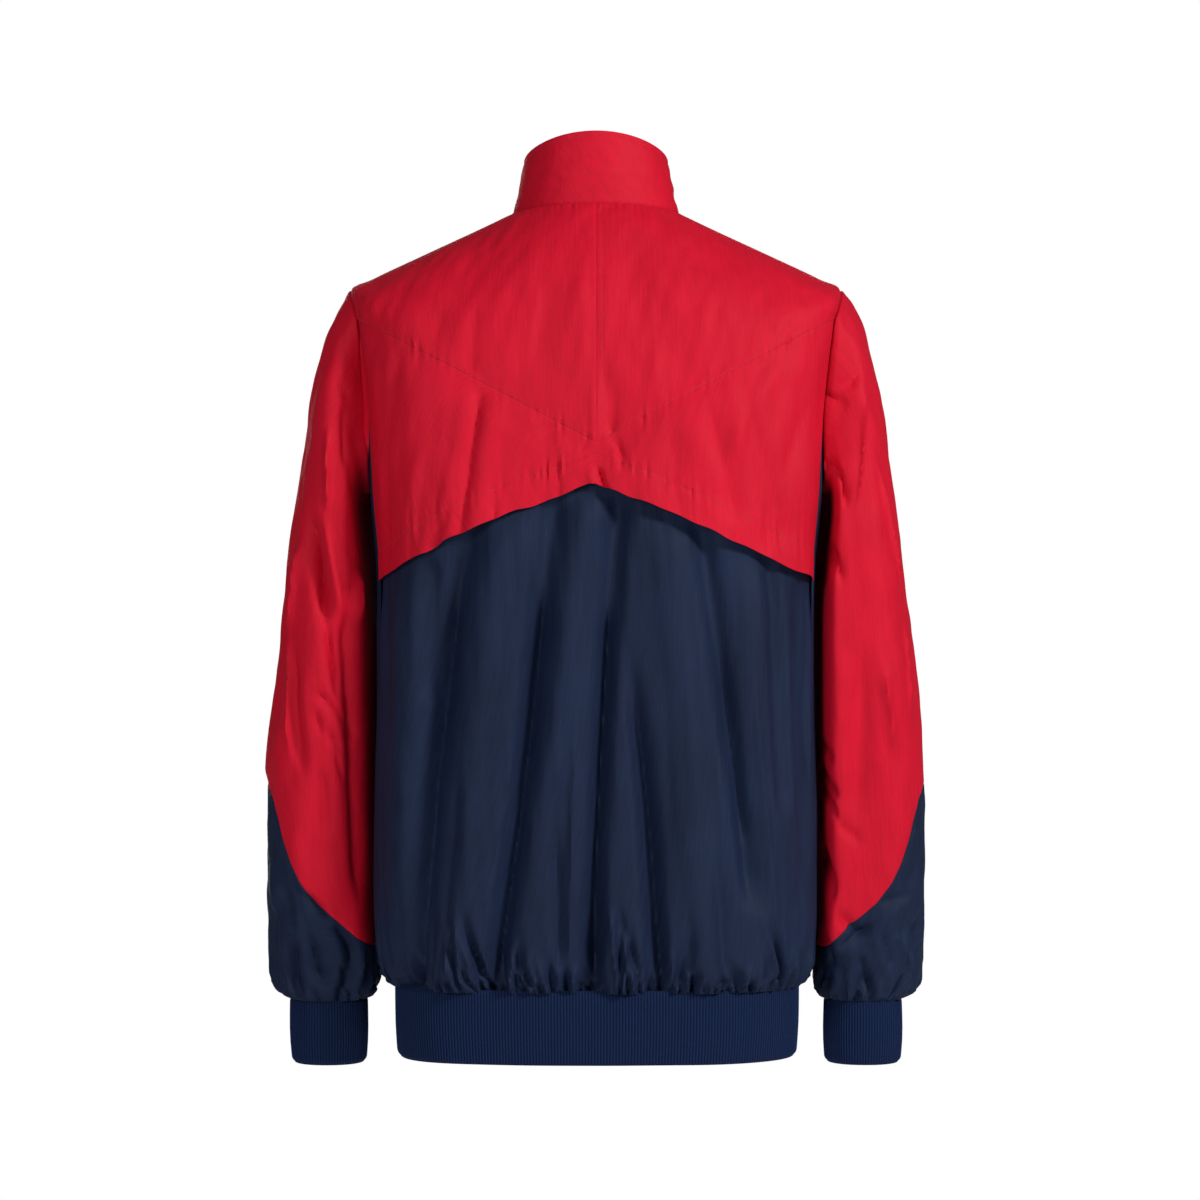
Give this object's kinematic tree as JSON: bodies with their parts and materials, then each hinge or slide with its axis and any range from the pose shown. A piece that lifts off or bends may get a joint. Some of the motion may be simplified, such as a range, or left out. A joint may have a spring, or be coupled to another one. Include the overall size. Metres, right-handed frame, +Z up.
{
  "type": "windbreaker jacket",
  "caption": "Zip-up windbreaker with a stand collar, pointed back yoke over a free cape, two-tone body and sleeves, and ribbed cuffs and hem.",
  "frame": {"origin": "middle of the neck at the height of the neck seam's sides, where the wearer's neck and shoulders hold the jacket", "axes": "+Z up, +X towards the wearer's left, -Y towards the wearer's front"},
  "size_m": [0.567, 0.2781, 0.7945],
  "materials": {
    "red_shell": "matt peached microfibre shell cloth",
    "navy_shell": "matt peached microfibre shell cloth",
    "navy_rib": "fine knitted rib",
    "zip_tape": "woven tape with moulded teeth",
    "zip_metal": "satin enamelled zinc"
  },
  "bodies": {
    "jacket": {"collar": "red_shell", "back_cape": "red_shell", "back_panel": "navy_shell", "back_yoke_left": "red_shell", "front_yoke_left": "red_shell", "front_left": "navy_shell", "sleeve_upper_left": "red_shell", "sleeve_lower_left": "navy_shell", "cuff_left": "navy_rib", "back_yoke_right": "red_shell", "front_yoke_right": "red_shell", "front_right": "navy_shell", "sleeve_upper_right": "red_shell", "sleeve_lower_right": "navy_shell", "cuff_right": "navy_rib", "hem_band": "navy_rib", "front_zip": "zip_tape", "zip_slider": "zip_metal"},
    "pull_tab": {"zip_pull_tab": "zip_metal"}
  },
  "joints": [
    {"name": "pull_tab_hinge", "type": "hinge", "parent": "jacket", "child": "pull_tab", "pos_m": [0, -0.07125, 0.0138], "axis": [-1, 0, 0], "range_deg": [0, 165]}
  ]
}
